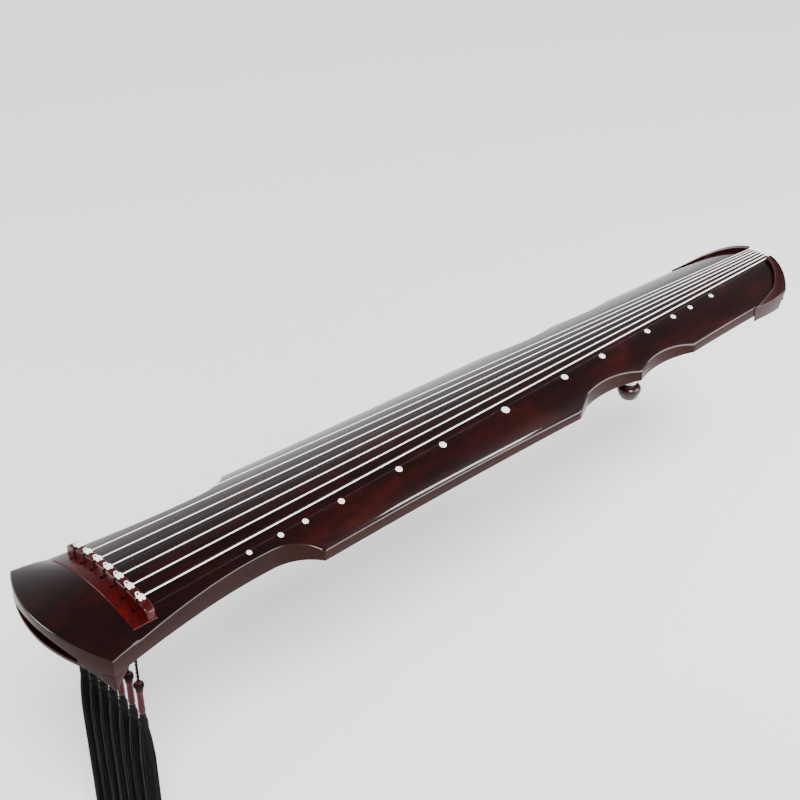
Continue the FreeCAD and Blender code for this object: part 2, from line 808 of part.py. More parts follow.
def make_tassels():
    """Silk tassels below the pegs, as plain closed solids."""
    skirt = S.tassel_radius
    length = S.tassel_length
    profile = [(0, 0), (3, 0), (4.5, -3), (skirt - 2.2, -8), (skirt - 1.2, -20),
               (skirt, -length), (0, -length)]
    for number in STRINGS:
        tassel = turned(f"tassel_{number}_turned", profile)
        top = S.peg_top - S.peg_length
        tassel.Placement.Base = Vector(S.cord_x, string_y(number), top)
        settle_moved(tassel, f"tassel_{number}")


# ---------------------------------------------------------------- build and write
make_soundboard()
make_studs()
make_bottom_board()
make_foot_blocks()
make_sound_posts()
make_inlay_plate()
make_bridge()
make_peg_plate()
make_peg_guards()
make_tail_trims()
make_tail_nut()
make_under_trim()
make_goose_feet()
make_strings()
make_knots()
make_silk_loops()
make_hanging_cords()
make_pegs()
make_tassels()
doc.recompute()

for obj in doc.Objects:
    if "Invalid" in obj.State or "Error" in obj.State:
        raise RuntimeError(f"{obj.Name} ({obj.Label}) didn't recompute: {obj.State}")
for node in nodes:
    shape = node.Shape
    if shape.isNull() or not shape.isValid() or not shape.Solids:
        raise RuntimeError(f"{node.Label} has no valid solid")
    shape.exportStep(os.path.join("parts", f"{node.Label}.step"))
    bound = shape.BoundBox
    print(f"{node.Label:18s} solids {len(shape.Solids):2d}  volume {shape.Volume / 1000:8.1f} cm3 "
          f"x {bound.XMin:7.1f} {bound.XMax:7.1f}  y {bound.YMin:6.1f} {bound.YMax:6.1f} "
          f"z {bound.ZMin:7.1f} {bound.ZMax:6.1f}")
print(len(nodes), "nodes")
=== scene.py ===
"""Looks of the seven-string guqin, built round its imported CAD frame.

Sizes are in millimetres in the body's own axes (x = 0 at the bridge's inner edge, z = 0 at the
underside) and at() turns them into metres in the row frame. Nodes that aren't replaced here keep
their CAD mesh and get a material.
"""
import math
import random

import bmesh
import bpy
from mathutils import Matrix, Vector


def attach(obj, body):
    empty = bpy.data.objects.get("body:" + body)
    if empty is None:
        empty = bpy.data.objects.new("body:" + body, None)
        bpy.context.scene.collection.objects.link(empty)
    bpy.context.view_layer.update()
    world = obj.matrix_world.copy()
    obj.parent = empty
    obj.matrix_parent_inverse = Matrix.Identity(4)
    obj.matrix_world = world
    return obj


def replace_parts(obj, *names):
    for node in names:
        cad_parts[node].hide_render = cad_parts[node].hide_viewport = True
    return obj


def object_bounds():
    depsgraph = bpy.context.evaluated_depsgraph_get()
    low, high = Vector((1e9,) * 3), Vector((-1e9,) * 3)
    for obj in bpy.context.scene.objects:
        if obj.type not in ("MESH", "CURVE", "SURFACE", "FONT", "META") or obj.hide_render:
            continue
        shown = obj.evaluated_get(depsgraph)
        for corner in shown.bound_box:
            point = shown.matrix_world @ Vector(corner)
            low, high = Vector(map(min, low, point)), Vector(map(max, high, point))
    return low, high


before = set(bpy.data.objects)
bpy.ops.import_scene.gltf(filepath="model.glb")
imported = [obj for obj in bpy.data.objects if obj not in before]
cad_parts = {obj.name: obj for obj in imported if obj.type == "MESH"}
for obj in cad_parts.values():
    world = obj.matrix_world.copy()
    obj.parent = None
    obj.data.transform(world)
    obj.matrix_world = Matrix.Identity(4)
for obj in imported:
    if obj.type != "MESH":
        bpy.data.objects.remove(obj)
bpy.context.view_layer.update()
ROOT = "instrument"
STRINGS = range(1, 8)

# ---------------------------------------------------------------- the CAD's own numbers
MID_X = 523                # where the row frame's x = 0 lies
FOOT_HEIGHT = 36
STRING_LENGTH = 1130
STRING_PITCH = 20.9        # between two strings at the bridge
BODY_END = 1140
HEAD_CORNER = 106.5        # half the body's width at the head's corners

CROWN_TOP = 41             # middle of the soundboard at the bridge
CROWN_FALL = 5.5           # and how much lower it is at the nut
CROWN_RADIUS = 232         # arch across the soundboard at the bridge
CROWN_TIGHTER = 98         # and how much smaller its radius is at the nut
HEAD_FALL = 0.165          # per mm ahead of the inlay plate
HEAD_FLATTER = 4.9
SEAM_HEIGHT = 9.0          # where the soundboard meets the bottom board

PLATE_DEPTH = 31
PLATE_HALF = 83
PLATE_RISE = 1             # how far the inlay plate stands above the lacquer
CORD_X = -22               # where the cords leave the underside
CORD_TOP_X = -15.5         # and where they enter the inlay plate
BORE_RADIUS = 0.0025       # metres, as every radius of a tube

BRIDGE_TOP = 51.3
BRIDGE_HALF = 82.5
BRIDGE_DEPTH = 12
CLIP_WIDTH = 12            # the clipped part at each end of the bridge
CLIP_FALL = 7.04
CLIP_CURVE = 1.93
BRIDGE_CLIP = BRIDGE_HALF - CLIP_WIDTH
BRIDGE_DROP = 7.26         # from the bridge's middle to where a clipped end starts
BRIDGE_RADIUS = (BRIDGE_CLIP ** 2 + BRIDGE_DROP ** 2) / (2 * BRIDGE_DROP)

NUT_TOP = 37.2
TRIM_HALF = 19.5           # half the width of the nut and of the trim under the tail
TRIM_ROUND = 4             # radius of their rear edges
PEG_TOP = -66
PEG_LENGTH = 47
TASSEL_LENGTH = 285
TASSEL_RADIUS = 9.4


def at(x, y, z):
    """Point of the body's axes, in the row frame."""
    return Vector(((x - MID_X) / 1000, y / 1000, (z + FOOT_HEIGHT) / 1000))


def string_y(number):
    return (number - 4) * STRING_PITCH


def arch_z(top, radius, y):
    """Height of an arch at that distance from its middle."""
    return top - radius + math.sqrt(radius * radius - y * y)


def head_split(x):
    """How far a place is along the strings, and how far ahead of the inlay plate."""
    return max(x, -PLATE_DEPTH), max(-PLATE_DEPTH - x, 0)


def crown_radius(x):
    along, ahead = head_split(x)
    return CROWN_RADIUS - CROWN_TIGHTER / STRING_LENGTH * along + HEAD_FLATTER * ahead


def crown(x, y, rise=0.0):
    """The soundboard's arched face, or a face that far above it."""
    along, ahead = head_split(x)
    top = CROWN_TOP - CROWN_FALL / STRING_LENGTH * along - HEAD_FALL * ahead
    return arch_z(top, crown_radius(x), y) + rise


def bridge_z(y):
    """Top of the bridge: an arch with clipped ends."""
    side = abs(y)
    if side <= BRIDGE_CLIP:
        return arch_z(BRIDGE_TOP, BRIDGE_RADIUS, side)
    part = (side - BRIDGE_CLIP) / CLIP_WIDTH
    return BRIDGE_TOP - BRIDGE_DROP - CLIP_FALL * part ** CLIP_CURVE


# ---------------------------------------------------------------- camera
CAMERA_PLACE = (-1.2629, -1.3567, 1.2607)
CAMERA_ANGLES = (49.53, -32.82, -1.59)    # yaw, pitch and roll in degrees
CAMERA_LENS = 76.889
BODY_TILT = 0.0085    # radians: the tail stands a little lower than the head in the photograph


def add_object(name, data):
    """A new object in the scene."""
    made = bpy.data.objects.new(name, data)
    bpy.context.scene.collection.objects.link(made)
    return made


def make_camera():
    camera = add_object("camera", bpy.data.cameras.new("camera"))
    yaw, pitch, roll = (math.radians(a) for a in CAMERA_ANGLES)
    level = math.cos(pitch)
    ahead = Vector((level * math.cos(yaw), level * math.sin(yaw), math.sin(pitch)))
    right = ahead.cross(Vector((0, 0, 1))).normalized()
    level_up = right.cross(ahead)
    right, up = (math.cos(roll) * right + math.sin(roll) * level_up,
                 math.cos(roll) * level_up - math.sin(roll) * right)
    tilt = Matrix.Rotation(-BODY_TILT, 3, "Y")
    axes = (tilt @ Matrix((right, up, -ahead)).transposed()).to_4x4()
    camera.matrix_world = Matrix.Translation(CAMERA_PLACE) @ axes
    camera.data.lens = CAMERA_LENS
    camera.data.sensor_width = 36
    bpy.context.scene.camera = camera


make_camera()


# ---------------------------------------------------------------- materials
class Shader:
    """A Principled material and short calls that wire up its nodes."""

    def __init__(self, name, stretch=(1, 1, 1), **sockets):
        self.material = bpy.data.materials.new(name)
        self.material.use_nodes = True
        self.tree = self.material.node_tree
        self.surface = self.tree.nodes["Principled BSDF"]
        for socket, value in sockets.items():
            self.surface.inputs[socket.replace("_", " ")].default_value = value
        source = self.node("ShaderNodeTexCoord")
        self.normal = source.outputs["Normal"]
        mapping = self.node("ShaderNodeMapping")
        mapping.inputs["Scale"].default_value = stretch
        self.link(source.outputs["Object"], mapping.inputs["Vector"])
        self.place = mapping.outputs["Vector"]

    def node(self, kind, **values):
        made = self.tree.nodes.new(kind)
        for socket, value in values.items():
            made.inputs[socket].default_value = value
        return made

    def link(self, start, end):
        self.tree.links.new(start, end)

    def noise(self, scale, detail=4.0, roughness=0.55, distortion=0.0):
        made = self.node("ShaderNodeTexNoise", Scale=scale, Detail=detail,
                         Roughness=roughness, Distortion=distortion)
        self.link(self.place, made.inputs["Vector"])
        return made.outputs["Fac"]

    def bands(self, scale, direction, distortion=0.0):
        made = self.node("ShaderNodeTexWave", Scale=scale, Distortion=distortion, Detail=1.0)
        made.bands_direction = direction
        self.link(self.place, made.inputs["Vector"])
        return made.outputs["Fac"]

    def upright(self):
        """1 on faces that stand upright, falling to 0 on faces that lie flat."""
        split = self.node("ShaderNodeSeparateXYZ")
        self.link(self.normal, split.inputs[0])
        size = self.node("ShaderNodeMath")
        size.operation = "ABSOLUTE"
        self.link(split.outputs["Z"], size.inputs[0])
        return self.ramp(size.outputs[0], (0.15, (1, 1, 1)), (0.50, (0, 0, 0)))

    def ramp(self, source, *stops):
        """Colours at the given places between 0 and 1."""
        made = self.node("ShaderNodeValToRGB")
        marks = made.color_ramp.elements
        while len(marks) < len(stops):
            marks.new(0.5)
        for mark, (place, colour) in zip(marks, stops):
            mark.position = place
            mark.color = (*colour, 1)
        self.link(source, made.inputs["Fac"])
        return made.outputs["Color"]

    def mix(self, factor, first, second, blend="MIX"):
        """A Mix node, whose sockets 0, 6 and 7 are the factor and its two colours."""
        made = self.tree.nodes.new("ShaderNodeMix")
        made.data_type = "RGBA"
        made.blend_type = blend
        for socket, value in ((0, factor), (6, first), (7, second)):
            if isinstance(value, bpy.types.NodeSocket):
                self.link(value, made.inputs[socket])
            elif socket == 0:
                made.inputs[0].default_value = value
            else:
                made.inputs[socket].default_value = (*value, 1)
        return made.outputs[2]

    def colour(self, source):
        self.link(source, self.surface.inputs["Base Color"])
        return self

    def gloss(self, source, low, high):
        """Roughness that varies from low to high with the source."""
        made = self.node("ShaderNodeMapRange", **{"To Min": low, "To Max": high})
        self.link(source, made.inputs["Value"])
        self.link(made.outputs["Result"], self.surface.inputs["Roughness"])
        return self

    def bump(self, source, strength, depth):
        made = self.node("ShaderNodeBump", Strength=strength, Distance=depth)
        self.link(source, made.inputs["Height"])
        self.link(made.outputs["Normal"], self.surface.inputs["Normal"])
        return self


def lacquer(name, dark, warm, red):
    """Lacquer: brown-black over red; upright faces get a thinner coat and a browner painted
    reflection.
    """
    shade = Shader(name, (1, 3.2, 3.2), Coat_Roughness=0.035, Coat_IOR=1.5,
                   Specular_IOR_Level=0.08)
    clouds = shade.noise(7, 5, 0.6, 0.6)
    streaks = shade.noise(34, 6, 0.65, 1.2)
    body = shade.ramp(clouds, (0.30, dark), (0.52, warm), (0.74, red))
    veins = shade.ramp(streaks, (0.35, (0.45, 0.42, 0.42)), (0.6, (1, 1, 1)))
    top = shade.mix(0.45, body, veins, "MULTIPLY")
    # painted reflection: upright faces get their own browner colour, in place of the surroundings
    # the sides reflect
    painted_flank_reflection = shade.ramp(clouds, (0.30, (0.0085, 0.0013, 0.0007)), (0.70, (0.0200, 0.0043, 0.0020)))
    upright = shade.upright()
    shade.colour(shade.mix(upright, top, painted_flank_reflection))
    coat = shade.ramp(upright, (0.0, (0.6, 0.6, 0.6)), (1.0, (0.03, 0.03, 0.03)))
    shade.link(coat, shade.surface.inputs["Coat Weight"])
    shade.gloss(clouds, 0.20, 0.32)
    return shade.bump(shade.noise(420, 3), 0.035, 0.0002).material


def rosewood(name, dark, mid, light):
    """Polished red hardwood with long dark streaks and open pores."""
    shade = Shader(name, (9, 1.3, 9), Coat_Weight=0.32, Coat_Roughness=0.06,
                   Specular_IOR_Level=0.15)
    streaks = shade.noise(24, 6, 0.6, 1.6)
    pores = shade.noise(260, 2)
    wood = shade.ramp(streaks, (0.30, dark), (0.50, mid), (0.72, light))
    specks = shade.ramp(pores, (0.36, (0.3, 0.25, 0.25)), (0.46, (1, 1, 1)))
    shade.colour(shade.mix(0.8, wood, specks, "MULTIPLY"))
    shade.gloss(pores, 0.22, 0.42)
    return shade.bump(pores, 0.12, 0.0003).material


def plain_wood(name, dark, light, scale):
    shade = Shader(name, (1, 8, 8))
    grain = shade.noise(scale, 5, 0.6, 0.8)
    shade.colour(shade.ramp(grain, (0.3, dark), (0.7, light)))
    shade.gloss(grain, 0.55, 0.8)
    return shade.bump(grain, 0.2, 0.0004).material


def peg_wax():
    """Waxed red-brown peg wood, worn paler in patches."""
    shade = Shader("peg_wood", (4, 4, 1), Coat_Weight=0.05, Coat_Roughness=0.18,
                   Specular_IOR_Level=0.1)
    grain = shade.noise(70, 5, 0.6, 0.5)
    wear = shade.noise(36, 3)
    wood = shade.ramp(grain, (0.3, (0.014, 0.0016, 0.0014)), (0.55, (0.040, 0.0052, 0.0042)),
                      (0.78, (0.075, 0.0115, 0.0090)))
    pale = shade.ramp(wear, (0.52, (0, 0, 0)), (0.75, (0.5, 0.5, 0.5)))
    shade.colour(shade.mix(pale, wood, (0.105, 0.024, 0.019)))
    shade.gloss(wear, 0.28, 0.5)
    return shade.bump(grain, 0.12, 0.0002).material


def silk(name, dark, light, sheen, shine):
    """Twisted silk: a fine slanting ply and a soft sheen."""
    shade = Shader(name, Sheen_Weight=sheen, Sheen_Roughness=0.4, Specular_IOR_Level=shine)
    ply = shade.bands(420, "DIAGONAL", 1.5)
    fuzz = shade.noise(900, 2)
    shade.colour(shade.mix(fuzz, dark, light))
    shade.gloss(ply, 0.45, 0.75)
    return shade.bump(ply, 0.35, 0.0003).material


def string_winding():
    """Nylon-wound steel: close turns round the string and a pale satin face."""
    shade = Shader("string_winding", Specular_IOR_Level=0.6)
    turns = shade.bands(520, "X")
    dust = shade.noise(60, 3)
    shade.colour(shade.ramp(dust, (0.3, (0.80, 0.79, 0.77)), (0.7, (0.92, 0.91, 0.89))))
    shade.gloss(dust, 0.25, 0.42)
    return shade.bump(turns, 0.3, 0.00008).material


def mother_of_pearl():
    """Pale shell with faint pink and green clouds."""
    shade = Shader("pearl", Coat_Weight=0.6, Coat_Roughness=0.05)
    layers = shade.noise(190, 4, 0.5, 2.5)
    clouds = shade.noise(120, 3)
    tint = shade.ramp(layers, (0.35, (0.80, 0.83, 0.80)), (0.5, (0.90, 0.88, 0.84)),
                      (0.65, (0.86, 0.80, 0.82)))
    shade.colour(shade.mix(clouds, tint, (0.88, 0.87, 0.83)))
    return shade.gloss(layers, 0.16, 0.3).material


LACQUER = lacquer("lacquer", (0.0040, 0.0012, 0.0012), (0.0095, 0.0017, 0.0014),
                  (0.027, 0.0028, 0.0018))
ROSEWOOD = rosewood("rosewood", (0.009, 0.0003, 0.0003), (0.038, 0.0006, 0.0005),
                    (0.068, 0.0016, 0.0012))
TRIM_WOOD = rosewood("trim_rosewood", (0.0045, 0.0003, 0.0003), (0.0140, 0.0005, 0.0005),
                     (0.0300, 0.0014, 0.0012))
INNER_WOOD = plain_wood("inner_wood", (0.30, 0.19, 0.10), (0.52, 0.36, 0.20), 22)
PEG_WOOD = peg_wax()
BLACK_SILK = silk("black_silk", (0.0010, 0.0007, 0.0007), (0.0060, 0.0042, 0.0042),
                  sheen=0.01, shine=0.08)
WHITE_SILK = silk("knot_silk", (0.82, 0.81, 0.79), (0.93, 0.92, 0.90), sheen=0.1, shine=0.5)
WINDING = string_winding()
PEARL = mother_of_pearl()


# ---------------------------------------------------------------- mesh helpers
SHARP = 35         # degrees between two faces from which their edge stays sharp
WELD = 1e-6        # metres
POLE = 0.01        # smallest radius of a turned shape, at the ends of its profile
EDGE_IN = 0.01     # heights at the rim of a plate are read this far inside it
SAME = 1e-4        # two points of a ring that are closer than this count as one
MITRE_LOW = 0.35   # keeps the mitre short at a sharp corner


def welded(name, points, faces, dissolve=True):
    """A mesh with its doubled points merged and its normals facing out."""
    mesh = bpy.data.meshes.new(name)
    mesh.from_pydata([tuple(p) for p in points], [], faces)
    work = bmesh.new()
    work.from_mesh(mesh)
    bmesh.ops.remove_doubles(work, verts=work.verts, dist=WELD)
    if dissolve:
        bmesh.ops.dissolve_degenerate(work, edges=work.edges, dist=WELD)
    bmesh.ops.recalc_face_normals(work, faces=work.faces)
    work.to_mesh(mesh)
    work.free()
    return mesh


def smooth(mesh, sharp=SHARP):
    mesh.shade_smooth()
    mesh.set_sharp_from_angle(angle=math.radians(sharp))


def new_piece(name, points, faces, material, slot, body=ROOT, sharp=SHARP):
    """A finished piece, riding on its body. Points are in the row frame."""
    mesh = welded(name, points, faces)
    smooth(mesh, sharp)
    mesh.materials.append(material)
    piece = add_object(name, mesh)
    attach(piece, body)
    return piece


def angles(count, sweep=2 * math.pi):
    """Both ends of the sweep and the angles between, in that many steps."""
    return [sweep * k / count for k in range(count + 1)]


def inset(ring, depth):
    """The ring moved inwards by depth, with mitred corners. The ring runs anticlockwise."""
    moved = []
    count = len(ring)
    for index, here in enumerate(ring):
        before = next(ring[(index - k) % count] for k in range(1, count)
                      if (ring[(index - k) % count] - here).length > SAME)
        after = next(ring[(index + k) % count] for k in range(1, count)
                     if (ring[(index + k) % count] - here).length > SAME)
        one = (here - before).normalized()
        two = (after - here).normalized()
        left = Vector((-one.y, one.x))
        right = Vector((-two.y, two.x))
        mitre = (left + right) / max(1 + left.dot(right), MITRE_LOW)
        moved.append(here + mitre * depth)
    return moved


def slab(near, far, top, bottom, top_round, low_round, across, steps=4):
    """Points and faces of a plate between two plan edges that run the same way.

    far lies on the left of near, so near and then far reversed run anticlockwise. top and bottom
    give the heights at a point of the plan. Each rim is rounded in that many steps, and each
    face has that many strips across.
    """
    ring = [Vector(p) for p in near] + [Vector(p) for p in reversed(far)]
    count = len(ring)
    half = len(near)
    points = []
    faces = []

    def add_ring(depth, height, drop):
        start = len(points)
        for spot, inner in zip(inset(ring, depth), inset(ring, max(depth, EDGE_IN))):
            points.append(at(spot.x, spot.y, height(inner.x, inner.y) + drop))
        return start

    rings = [add_ring(top_round * (1 - math.sin(a)), top, -top_round * (1 - math.cos(a)))
             for a in angles(steps, math.pi / 2)]
    low = [add_ring(low_round * (1 - math.cos(a)), bottom, low_round * (1 - math.sin(a)))
           for a in angles(steps, math.pi / 2)]
    if low_round == 0:
        low = low[:1]
    stack = rings + low
    for upper, lower in zip(stack, stack[1:]):
        for k in range(count):
            after = (k + 1) % count
            faces.append((upper + k, lower + k, lower + after, upper + after))
    for ring_start, height, depth, flip in ((rings[0], top, top_round, False),
                                            (low[-1], bottom, low_round, True)):
        rim = inset(ring, depth)
        rows = []
        for k in range(half):
            mate = count - 1 - k
            row = [ring_start + k]
            for step in range(1, across):
                spot = rim[k].lerp(rim[mate], step / across)
                row.append(len(points))
                points.append(at(spot.x, spot.y, height(spot.x, spot.y)))
            row.append(ring_start + mate)
            rows.append(row)
        for one, two in zip(rows, rows[1:]):
            for a, b, c, d in zip(one, two, two[1:], one[1:]):
                faces.append((a, d, c, b) if flip else (a, b, c, d))
    return points, faces


def carve(piece, *cutters):
    """Cuts the cutters' shapes out of the piece for good."""
    for shape in cutters:
        step = piece.modifiers.new("cut", "BOOLEAN")
        step.operation = "DIFFERENCE"
        step.solver = "EXACT"
        step.object = shape
    graph = bpy.context.evaluated_depsgraph_get()
    mesh = bpy.data.meshes.new_from_object(piece.evaluated_get(graph))
    piece.modifiers.clear()
    piece.data = mesh
    for shape in cutters:
        bpy.data.objects.remove(shape)
    smooth(mesh)


def cutter(name, points, faces):
    """A shape for carve(), which takes it away again."""
    return add_object(name, welded(name, points, faces, dissolve=False))


def prism(start, end):
    """Points and faces of the solid between two rings that match point by point."""
    count = len(start)
    faces = [tuple(range(count)), tuple(range(count, 2 * count))]
    faces += [(k, (k + 1) % count, (k + 1) % count + count, k + count) for k in range(count)]
    return [*start, *end], faces


def arc_points(start, middle, end, count):
    """Points along the circle through three plan points."""
    (ax, ay), (bx, by), (cx, cy) = start, middle, end
    twice = 2 * (ax * (by - cy) + bx * (cy - ay) + cx * (ay - by))
    a2, b2, c2 = ax * ax + ay * ay, bx * bx + by * by, cx * cx + cy * cy
    ux = (a2 * (by - cy) + b2 * (cy - ay) + c2 * (ay - by)) / twice
    uy = (a2 * (cx - bx) + b2 * (ax - cx) + c2 * (bx - ax)) / twice
    radius = math.hypot(ax - ux, ay - uy)
    first = math.atan2(ay - uy, ax - ux)
    turn = (math.atan2(cy - uy, cx - ux) - first + math.pi) % (2 * math.pi) - math.pi
    return [(ux + radius * math.cos(first + turn * k / count),
             uy + radius * math.sin(first + turn * k / count)) for k in range(count + 1)]


def path_points(legs, spacing):
    """Points along straight legs of two points and arcs of three, none of them twice."""
    points = []
    for leg in legs:
        length = sum(math.dist(a, b) for a, b in zip(leg, leg[1:]))
        count = max(1, round(length / spacing))
        if len(leg) == 3:
            found = arc_points(*leg, count)
        else:
            found = [tuple(Vector(leg[0]).lerp(Vector(leg[1]), k / count))
                     for k in range(count + 1)]
        points += found if not points else found[1:]
    return points


def lathe(profile, centre, segments=64):
    """Points and faces of a turned shape, from (radius, height) pairs."""
    points = []
    faces = []
    for radius, height in profile:
        for k in range(segments):
            angle = 2 * math.pi * k / segments
            points.append(at(centre[0] + radius * math.cos(angle),
                             centre[1] + radius * math.sin(angle), centre[2] + height))
    for row in range(len(profile) - 1):
        for k in range(segments):
            a, b = row * segments + k, row * segments + (k + 1) % segments
            faces.append((a, b, b + segments, a + segments))
    for row, turn in ((0, -1), (len(profile) - 1, 1)):
        if profile[row][0] > POLE:
            faces.append(tuple(row * segments + k for k in range(segments))[::turn])
    return points, faces


def smooth_profile(corners, reach=0.35, steps=4):
    """Rounds the corners of a lathe profile, reaching that part of the way to the next ones."""
    result = [corners[0]]
    for before, corner, after in zip(corners, corners[1:], corners[2:]):
        here = Vector(corner)
        room = min((Vector(before) - here).length, (Vector(after) - here).length) * reach
        start = here + (Vector(before) - here).normalized() * room
        end = here + (Vector(after) - here).normalized() * room
        for k in range(steps + 1):
            t = k / steps
            result.append(tuple(start.lerp(here, t).lerp(here.lerp(end, t), t)))
    return result + [corners[-1]]


def frames(path):
    """Unit tangent and two unit normals at each point of a path, without twist."""
    result = []
    normal = None
    for k, here in enumerate(path):
        before = path[max(k - 1, 0)]
        after = path[min(k + 1, len(path) - 1)]
        tangent = (after - before).normalized()
        if normal is None:
            normal = tangent.orthogonal().normalized()
        normal = (normal - tangent * normal.dot(tangent)).normalized()
        result.append((tangent, normal, tangent.cross(normal)))
    return result


def tube(path, radius, sides=8, closed=False):
    """Points and faces of a round tube along points in the row frame.

    The radius is in metres. A closed tube has no caps, because its two ends meet.
    """
    points = []
    faces = []
    for here, (_, one, two) in zip(path, frames(path)):
        for side in range(sides):
            angle = 2 * math.pi * side / sides
            points.append(here + (one * math.cos(angle) + two * math.sin(angle)) * radius)
    rows = len(path)
    for row in range(rows - 1):
        for side in range(sides):
            a, b = row * sides + side, row * sides + (side + 1) % sides
            faces.append((a, b, b + sides, a + sides))
    if not closed:
        faces.append(tuple(range(sides))[::-1])
        faces.append(tuple(range((rows - 1) * sides, rows * sides)))
    return points, faces


def gather(parts):
    """Several sets of points and faces as one."""
    points = []
    faces = []
    for some, made in parts:
        start = len(points)
        points += some
        faces += [tuple(k + start for k in face) for face in made]
    return points, faces


def spline_points(controls, resolution=24):
    """Points along the NURBS line of the control points."""
    curve = bpy.data.curves.new("route", "CURVE")
    curve.dimensions = "3D"
    curve.resolution_u = resolution
    line = curve.splines.new("NURBS")
    line.points.add(len(controls) - 1)
    for point, place in zip(line.points, controls):
        point.co = (*place, 1)
    line.order_u = 3
    line.use_endpoint_u = True
    route = add_object("route", curve)
    mesh = bpy.data.meshes.new_from_object(route)
    found = [v.co.copy() for v in mesh.vertices]
    bpy.data.objects.remove(route)
    bpy.data.meshes.remove(mesh)
    return found


def twisted(path, strands, offset, radius, pitch):
    """Strands laid round a path, all lengths in metres."""
    parts = []
    for strand in range(strands):
        gone = 0.0
        line = []
        for k, (here, (_, one, two)) in enumerate(zip(path, frames(path))):
            if k:
                gone += (here - path[k - 1]).length
            angle = 2 * math.pi * (gone / pitch + strand / strands)
            line.append(here + (one * math.cos(angle) + two * math.sin(angle)) * offset)
        parts.append(tube(line, radius, 6))
    return gather(parts)


# ---------------------------------------------------------------- cords and tassels
PEG_BODIES = [f"peg_and_tassel_{n}" for n in STRINGS]
TASSEL_THREADS = 170
THREAD_RADIUS = 0.00042


def make_peg_cord(number):
    """Two black silk strands from the peg plate down to the peg."""
    y = string_y(number)
    route = [at(CORD_X, y, z) for z in (-1, -20, -46, PEG_TOP + 0.3)]
    path = spline_points(route)
    points, faces = twisted(path, strands=2, offset=0.00095, radius=0.00105, pitch=0.011)
    name = f"peg_cord_strands_{number}"
    piece = new_piece(name, points, faces, BLACK_SILK, "black_silk")
    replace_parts(piece, f"peg_cord_{number}")


def make_tassel(number):
    """A core cord, a knotted head, a bound bundle and the silk threads round it."""
    body = PEG_BODIES[number - 1]
    chance = random.Random(40 + number)
    y = string_y(number)
    top = PEG_TOP - PEG_LENGTH
    low = top - TASSEL_LENGTH
    neck = 14          # below the top, where the threads start
    neck_out = 4.0     # and how far from the middle
    bound_out = 5.0
    route = [at(CORD_X, y, z) for z in (top, top - 60, top - 150, top - 230, low + 1)]
    path = spline_points(route)
    points, faces = twisted(path, strands=2, offset=0.0006, radius=0.0007, pitch=0.008)
    core = new_piece(f"tassel_core_{number}", points, faces, BLACK_SILK, "black_silk", body)
    parts = []
    knot = [(0.5, 0), (2.6, -0.6), (4.0, -2.4), (4.1, -4.6), (3.2, -6.2), (3.3, -7.0),
            (4.9, -8.6), (5.6, -12), (5.2, -15.5), (4.6, -17)]
    parts.append(lathe(knot, (CORD_X, y, top), 32))
    bundle = [(POLE, -16), (4.2, -17), (6.0, -40), (6.6, -90), (6.6, -220), (5.8, -258),
              (POLE, -262)]
    parts.append(lathe(bundle, (CORD_X, y, top), 24))
    for turn in range(5):
        ring = [at(CORD_X + bound_out * math.cos(a), y + bound_out * math.sin(a),
                   top - 15 - 1.1 * turn) for a in angles(28)]
        parts.append(tube(ring, 0.00065, 6, closed=True))
    for _ in range(TASSEL_THREADS):
        bearing = chance.uniform(0, 2 * math.pi)
        widest = TASSEL_RADIUS * (0.45 + 0.5 * math.sqrt(chance.random()))
        sway = chance.uniform(-0.35, 0.35)
        stop = low + 1 + 9 * chance.random() ** 3
        line = []
        for k in range(11):
            t = k / 10
            z = top - neck + (stop - top + neck) * t
            open_out = neck_out + (widest - neck_out) * min(1.0, t * 5) ** 0.6
            angle = bearing + sway * math.sin(2.2 * math.pi * t + widest)
            line.append(at(CORD_X + open_out * math.cos(angle),
                           y + open_out * math.sin(angle), z))
        parts.append(tube(line, THREAD_RADIUS, 4))
    skirt = new_piece(f"tassel_skirt_{number}", *gather(parts), BLACK_SILK, "black_silk", body)
    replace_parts(core, f"tassel_{number}")
    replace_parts(skirt, f"tassel_{number}")


for n in STRINGS:
    make_peg_cord(n)
    make_tassel(n)


# ---------------------------------------------------------------- body
SIDES = ((-1, "near"), (1, "far"))
HEAD_SIDE = -73.5
OUTLINE = [
    ((HEAD_SIDE, HEAD_CORNER), (-6, 91.6), (60, 80.6)),
    ((60, 80.6), (112, 75), (168, 73.3)),
    ((168, 73.3), (196, 80.5), (220, 102.5)),
    ((220, 102.5), (420, 96.6), (657, 95)),
    ((657, 95), (684, 80.5)),
    ((684, 80.5), (732, 74), (786, 85)),
    ((786, 85), (838, 74), (894, 84.5)),
    ((894, 84.5), (1000, 79), (1103, 75.5)),
    ((1103, 75.5), (1127, 50), (1139, 19.6)),
    ((1139, 19.6), (1139, 0)),
]
FRONT = ((-103, 0), (-95.3, 54.5), (HEAD_SIDE, HEAD_CORNER))
MOUTH_HALF = 64
MOUTH = ((-MOUTH_HALF, 8.8), (0, 18.6), (MOUTH_HALF, 8.8))
PLAN_STEP = 4.5    # between two points of the body's plan


def mirror(points):
    return [(x, -y) for x, y in points]


def body_edges():
    """Near and far halves of the body's outline, from the head's front to the tail."""
    far = path_points([FRONT, *OUTLINE], PLAN_STEP)
    return mirror(far), far


def bore_x(z):
    """The cord holes slant a little towards the head as they go down."""
    return CORD_X + (CORD_TOP_X - CORD_X) * z / CROWN_TOP


def bore_cutter(name):
    """The seven slanting cord holes."""
    parts = [tube([at(bore_x(z), string_y(n), z) for z in (60, -15)], BORE_RADIUS, 28)
             for n in STRINGS]
    return cutter(name, *gather(parts))


def mouth_cutter(name):
    """The arched slot in the head's front edge."""
    low = 4.5
    face = [(-MOUTH_HALF, low), (MOUTH_HALF, low), *reversed(arc_points(*MOUTH, 40))]
    start, end = ([at(x, y, z) for y, z in face] for x in (-120, -84))
    return cutter(name, *prism(start, end))


